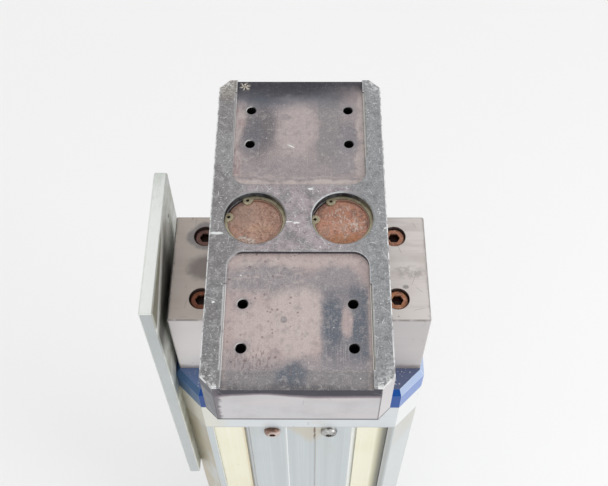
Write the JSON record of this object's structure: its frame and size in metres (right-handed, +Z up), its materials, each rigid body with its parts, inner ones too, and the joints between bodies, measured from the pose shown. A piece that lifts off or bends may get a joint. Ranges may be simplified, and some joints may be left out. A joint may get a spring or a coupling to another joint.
{
  "type": "electric linear actuator",
  "caption": "Upright electric linear actuator: a ball screw inside an extruded column lifts push rods and a drilled load plate through a guide block.",
  "frame": {"origin": "screw axis at the underside of the foot plate", "axes": "+Z up along the stroke, -Y towards the front face, -X towards the side plate"},
  "size_m": [0.207, 0.252, 0.85],
  "materials": {
    "load_plate_coat": "worn hard coat, grey",
    "block_coat": "worn hard coat, warm grey",
    "cover_blue": "blue anodised",
    "end_plate_silver": "natural anodised",
    "profile_silver": "natural anodised extrusion",
    "strip_cream": "cream plastic",
    "side_plate_zinc": "zinc plated steel",
    "side_screw_zinc": "zinc plated steel",
    "rod_steel": "hardened steel, rusted on the head",
    "ring_chromate": "yellow chromate spring steel",
    "cap_screw_steel": "black steel, rusted",
    "button_screw_steel": "plated steel",
    "wiper_rubber": "black rubber",
    "bumper_rubber": "dark polyurethane",
    "bush_bronze": "bronze",
    "bearing_steel": "ground steel",
    "drive_steel": "steel",
    "inner_aluminium": "machined",
    "shoe_plastic": "white bearing plastic",
    "spider_rubber": "red polyurethane",
    "motor_black": "black paint",
    "socket_nickel": "nickel plated",
    "socket_insulator": "black plastic"
  },
  "bodies": {
    "housing": {"foot_plate": "end_plate_silver", "foot_plate_screws": "button_screw_steel", "housing_profile": "profile_silver", "slot_strip_front_left": "strip_cream", "slot_strip_front_right": "strip_cream", "slot_strip_rear_left": "strip_cream", "slot_strip_rear_right": "strip_cream", "top_end_plate": "end_plate_silver", "end_plate_screws": "button_screw_steel", "cover_plate": "cover_blue", "guide_block": "block_coat", "guide_block_screws": "cap_screw_steel", "rod_wiper_left": "wiper_rubber", "rod_wiper_right": "wiper_rubber", "stop_bumper_left": "bumper_rubber", "stop_bumper_right": "bumper_rubber", "side_plate": "side_plate_zinc", "side_plate_screws": "side_screw_zinc", "carrier_screws": "button_screw_steel", "power_socket": "socket_nickel", "power_socket_insert": "socket_insulator", "power_socket_pins": "socket_nickel", "power_socket_screws": "socket_nickel", "guide_bushing_left": "bearing_steel", "guide_bushing_right": "bearing_steel", "screw_bush": "bush_bronze", "bearing_carrier": "inner_aluminium", "bearing_cap": "drive_steel", "bearing_cap_screws": "drive_steel", "thrust_bearing_outer": "bearing_steel", "thrust_bearing_rollers": "bearing_steel", "motor_lantern": "inner_aluminium", "motor_screws": "drive_steel", "motor_body": "motor_black", "motor_rear_cover": "motor_black", "motor_bearings": "bearing_steel"},
    "ram": {"load_plate": "load_plate_coat", "push_rod_left": "rod_steel", "push_rod_right": "rod_steel", "retaining_ring_left": "ring_chromate", "retaining_ring_right": "ring_chromate", "crosshead": "inner_aluminium", "rod_pins": "drive_steel", "guide_shoe_left": "shoe_plastic", "guide_shoe_right": "shoe_plastic", "guide_shoe_screws": "drive_steel", "ball_nut": "drive_steel", "ball_nut_screws": "drive_steel"},
    "drive_screw": {"ball_screw": "drive_steel", "thrust_bearing_inner": "bearing_steel", "bearing_lock_nut": "bearing_steel", "coupling_hub_upper": "inner_aluminium", "coupling_spider": "spider_rubber", "coupling_hub_lower": "inner_aluminium", "motor_rotor": "drive_steel"}
  },
  "joints": [
    {"name": "screw_spin", "type": "hinge", "parent": "housing", "child": "drive_screw", "pos_m": [0, 0, 0.3], "axis": [0, 0, -1], "range_deg": [0, 5400]},
    {"name": "ram_slide", "type": "slide", "parent": "housing", "child": "ram", "axis": [0, 0, 1], "range_m": [0, 0.15]}
  ],
  "couplings": [
    {"joint": "screw_spin", "follows": "ram_slide", "rad_per_m": 628.32}
  ]
}
